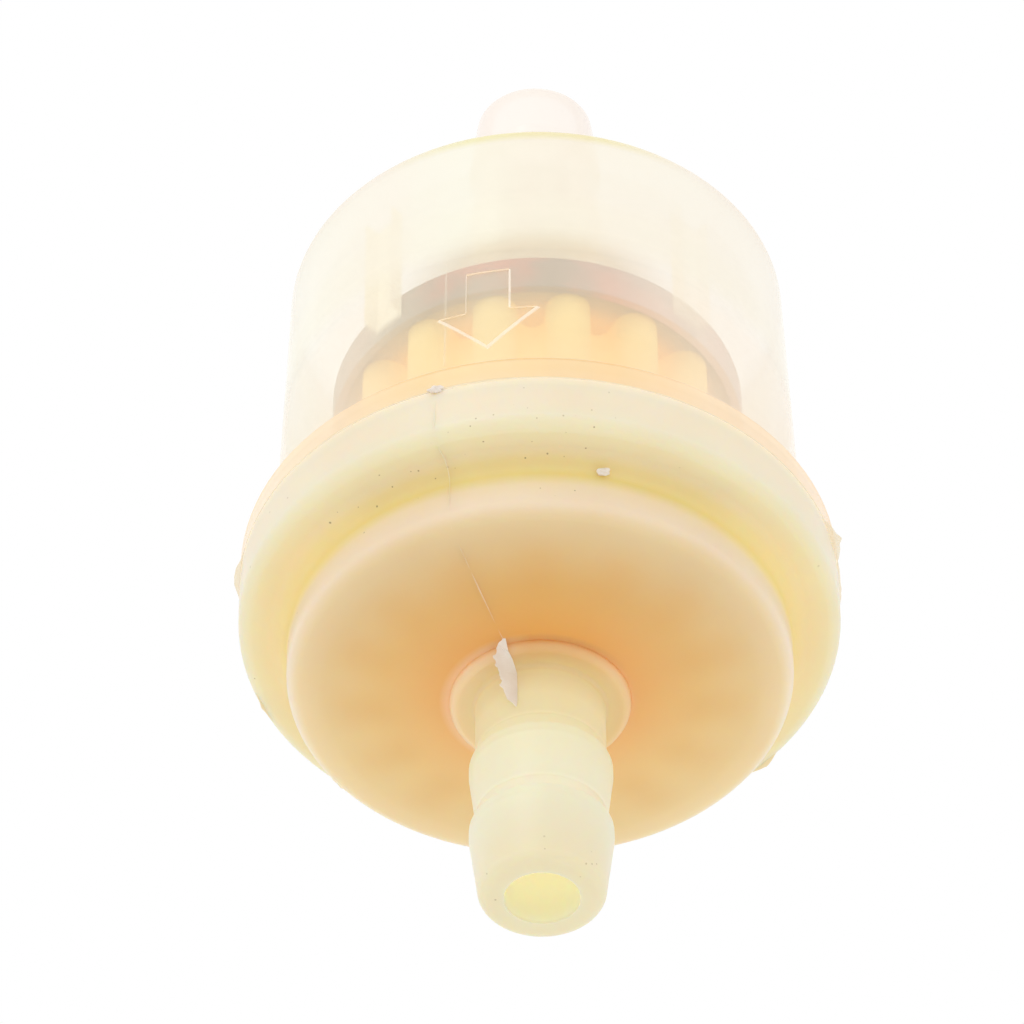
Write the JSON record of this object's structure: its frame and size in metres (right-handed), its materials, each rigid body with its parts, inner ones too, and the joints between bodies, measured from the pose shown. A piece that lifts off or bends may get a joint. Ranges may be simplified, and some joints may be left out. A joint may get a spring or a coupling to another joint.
{
  "type": "fuel filter",
  "caption": "Inline fuel filter for a small engine: clear cup welded to a translucent cream cap, a pleated paper element inside, and a barbed hose nipple at each end.",
  "frame": {"origin": "on the filter's axis at the mouth of the outlet nipple", "axes": "+Z along the axis from the outlet to the inlet, which is up in use; -Y faces the front, as pictured"},
  "size_m": [0.034, 0.034, 0.0632],
  "materials": {
    "clear_plastic": "clear, faintly yellow moulded plastic",
    "cream_plastic": "translucent cream moulded plastic",
    "weld_plastic": "remelted plastic",
    "filter_paper": "resin-treated filter paper",
    "seam_glue": "hot-melt glue",
    "dark_plastic": "dark brown moulded plastic",
    "head_resin": "cast resin",
    "foot_resin": "cast resin"
  },
  "bodies": {
    "root": {"cup": "clear_plastic", "lower_cap": "cream_plastic", "weld_bead": "weld_plastic", "filter_paper": "filter_paper", "paper_seam": "seam_glue", "end_cap": "dark_plastic", "head_resin": "head_resin", "foot_resin": "foot_resin"}
  },
  "joints": []
}
